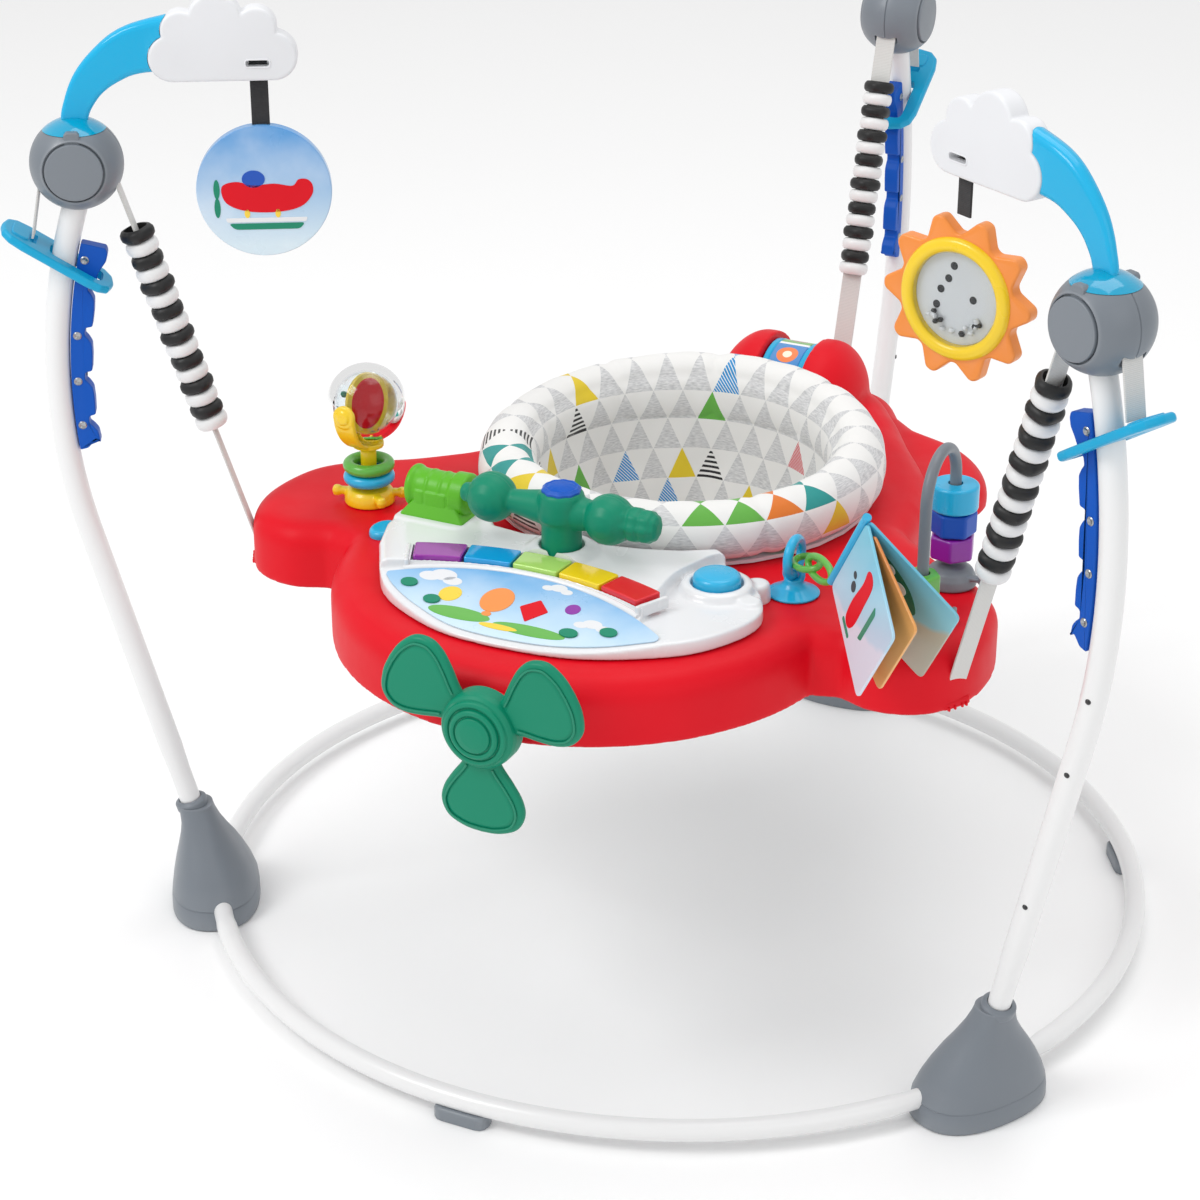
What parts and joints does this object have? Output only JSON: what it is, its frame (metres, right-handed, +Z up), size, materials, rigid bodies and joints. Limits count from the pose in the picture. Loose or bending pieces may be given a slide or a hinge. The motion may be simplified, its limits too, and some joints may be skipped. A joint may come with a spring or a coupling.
{
  "type": "activity jumper",
  "caption": "Airplane-shaped activity tray with a swivelling seat, hung by three sprung straps from curved posts on a round floor ring.",
  "frame": {"origin": "middle of the overall footprint, on the floor", "axes": "+Z up; the airplane nose and propeller point to -Y, the back post stands at +Y"},
  "size_m": [0.94, 0.954, 0.8],
  "materials": {
    "white_tube": "gloss",
    "foot_slate": "satin",
    "rack_cobalt": "satin",
    "paddle_cyan": "gloss",
    "arm_cyan": "translucent gloss",
    "cloud_white": "satin",
    "webbing_white": "woven",
    "webbing_black": "woven",
    "sleeve_stripe": "soft stripes",
    "spring_steel": "bright",
    "tray_red": "satin",
    "tray_grey": "satin",
    "bezel_white": "gloss",
    "key_lens": "translucent",
    "toy_cyan": "gloss",
    "toy_teal": "satin",
    "toy_lime": "satin",
    "toy_yellow": "gloss",
    "toy_orange": "satin",
    "toy_purple": "gloss",
    "toy_cobalt": "gloss",
    "toy_grey": "satin",
    "toy_sky": "printed",
    "globe_clear": "clear plastic",
    "seat_fabric": "printed triangles",
    "ring_white": "satin"
  },
  "bodies": {
    "frame": {"foot_left": "foot_slate", "post_left": "white_tube", "height_rack_left": "rack_cobalt", "head_left": "foot_slate", "strap_left": "webbing_white", "foot_right": "foot_slate", "post_right": "white_tube", "height_rack_right": "rack_cobalt", "head_right": "foot_slate", "strap_right": "webbing_white", "foot_back": "foot_slate", "post_back": "white_tube", "height_rack_back": "rack_cobalt", "head_back": "foot_slate", "strap_back": "webbing_white", "base_tube_front": "white_tube", "base_tube_right": "white_tube", "base_tube_left": "white_tube", "toy_arm_left": "arm_cyan", "cloud_left": "cloud_white", "toy_arm_right": "arm_cyan", "cloud_right": "cloud_white"},
    "suspension": {"spring_left": "spring_steel", "spring_right": "spring_steel", "spring_back": "spring_steel", "spring_sleeve_left": "sleeve_stripe", "spring_sleeve_right": "sleeve_stripe", "spring_sleeve_back": "sleeve_stripe"},
    "tray": {"tray_shell": "tray_red", "tray_base": "tray_grey", "console": "bezel_white", "light_bar": "key_lens", "spinner_stand": "toy_yellow", "bead_arch": "toy_grey", "ring_toy_cup": "toy_cyan", "book_back": "toy_sky"},
    "seat": {"seat_ring": "ring_white", "seat_cushion": "seat_fabric", "seat_sling": "seat_fabric"},
    "button": {"round_button": "toy_cyan"},
    "yoke": {"yoke": "toy_teal"},
    "lever": {"lever": "toy_lime"},
    "drum": {"picture_drum": "toy_sky"},
    "propeller": {"propeller": "toy_teal"},
    "globe": {"spinner_globe": "globe_clear"},
    "ring_green": {"slip_ring_green": "toy_lime"},
    "ring_cyan": {"slip_ring_cyan": "toy_cyan"},
    "bead_cyan": {"bead_cyan": "toy_cyan"},
    "bead_blue": {"bead_blue": "toy_cobalt"},
    "bead_purple": {"bead_purple": "toy_purple"},
    "bead_green": {"bead_green": "toy_lime"},
    "ring_toy": {"ring_toy_ring": "toy_cyan"},
    "book_cover": {"book_cover": "toy_sky"},
    "disc_toy": {"toy_strap_left": "webbing_black", "picture_disc": "toy_sky"},
    "sun_toy": {"toy_strap_right": "webbing_black", "sun_toy": "toy_orange"},
    "paddle_left": {"height_paddle_left": "paddle_cyan"},
    "paddle_right": {"height_paddle_right": "paddle_cyan"},
    "paddle_back": {"height_paddle_back": "paddle_cyan"}
  },
  "joints": [
    {"name": "tray_height", "type": "slide", "parent": "frame", "child": "suspension", "axis": [0, 0, 1], "range_m": [0, 0.079], "deforming": ["strap_left", "strap_right", "strap_back", "spring_sleeve_left", "spring_left", "spring_sleeve_right", "spring_right", "spring_sleeve_back", "spring_back"]},
    {"name": "tray_bounce", "type": "slide", "parent": "suspension", "child": "tray", "axis": [0, 0, 1], "range_m": [-0.06, 0.02], "stiffness_N_per_m": 1500, "springref_m": 0.016},
    {"name": "paddle_slide_left", "type": "hinge", "parent": "frame", "child": "paddle_left", "pos_m": [-0.00346, -0.06396, 0.48], "axis": [0.5, -0.866, 0], "range_deg": [0, 9.1]},
    {"name": "paddle_slide_right", "type": "hinge", "parent": "frame", "child": "paddle_right", "pos_m": [0.00346, -0.06396, 0.48], "axis": [0.5, 0.866, 0], "range_deg": [0, 9.1]},
    {"name": "paddle_slide_back", "type": "hinge", "parent": "frame", "child": "paddle_back", "pos_m": [0, -0.05796, 0.48], "axis": [-1, 0, 0], "range_deg": [0, 9.1]},
    {"name": "seat_swivel", "type": "hinge", "parent": "tray", "child": "seat", "pos_m": [0, -0.06196, 0.38], "axis": [0, 0, 1], "continuous": true},
    {"name": "yoke_turn", "type": "hinge", "parent": "tray", "child": "yoke", "pos_m": [-0.01, -0.26496, 0.4], "axis": [0, 0, 1], "range_deg": [-20, 20]},
    {"name": "lever_rock", "type": "hinge", "parent": "tray", "child": "lever", "pos_m": [-0.128, -0.23996, 0.421], "axis": [1, 0, 0], "range_deg": [-14, 14]},
    {"name": "button_press", "type": "slide", "parent": "tray", "child": "button", "axis": [0, 0, -1], "range_m": [0, 0.0035], "stiffness_N_per_m": 300},
    {"name": "drum_turn", "type": "hinge", "parent": "tray", "child": "drum", "pos_m": [0, 0.18204, 0.377], "axis": [1, 0, 0], "continuous": true},
    {"name": "propeller_turn", "type": "hinge", "parent": "tray", "child": "propeller", "pos_m": [0.024, -0.45396, 0.35], "axis": [0, 1, 0], "continuous": true},
    {"name": "globe_turn", "type": "hinge", "parent": "tray", "child": "globe", "pos_m": [-0.219, -0.19896, 0.465], "axis": [0, 1, 0], "continuous": true},
    {"name": "green_ring_turn", "type": "hinge", "parent": "tray", "child": "ring_green", "pos_m": [-0.219, -0.19896, 0.412], "axis": [0, 0, 1], "continuous": true},
    {"name": "cyan_ring_turn", "type": "hinge", "parent": "tray", "child": "ring_cyan", "pos_m": [-0.219, -0.19896, 0.398], "axis": [0, 0, 1], "continuous": true},
    {"name": "cyan_bead_turn", "type": "hinge", "parent": "tray", "child": "bead_cyan", "pos_m": [0.264, -0.14196, 0.452], "axis": [0, 0, 1], "continuous": true},
    {"name": "blue_bead_turn", "type": "hinge", "parent": "tray", "child": "bead_blue", "pos_m": [0.264, -0.14196, 0.431], "axis": [0, 0, 1], "continuous": true},
    {"name": "purple_bead_turn", "type": "hinge", "parent": "tray", "child": "bead_purple", "pos_m": [0.264, -0.14196, 0.411], "axis": [0, 0, 1], "continuous": true},
    {"name": "green_bead_turn", "type": "hinge", "parent": "tray", "child": "bead_green", "pos_m": [0.264, -0.20796, 0.405], "axis": [0, 0, 1], "continuous": true},
    {"name": "ring_toy_swing", "type": "hinge", "parent": "tray", "child": "ring_toy", "pos_m": [0.162, -0.21196, 0.395], "axis": [0, 1, 0], "range_deg": [-35, 5]},
    {"name": "book_cover_turn", "type": "hinge", "parent": "tray", "child": "book_cover", "pos_m": [0.209, -0.25396, 0.416], "axis": [0.4296, -0.3801, 0.8192], "range_deg": [-14, 0]},
    {"name": "disc_swing", "type": "hinge", "parent": "frame", "child": "disc_toy", "pos_m": [-0.28752, -0.22796, 0.748], "axis": [-0.866, -0.5, 0], "range_deg": [-12, 12]},
    {"name": "sun_swing", "type": "hinge", "parent": "frame", "child": "sun_toy", "pos_m": [0.28752, -0.22796, 0.748], "axis": [0.866, -0.5, 0], "range_deg": [-12, 12]}
  ],
  "couplings": [
    {"joint": "paddle_slide_left", "follows": "tray_height", "rad_per_m": 2},
    {"joint": "paddle_slide_right", "follows": "tray_height", "rad_per_m": 2},
    {"joint": "paddle_slide_back", "follows": "tray_height", "rad_per_m": 2}
  ]
}
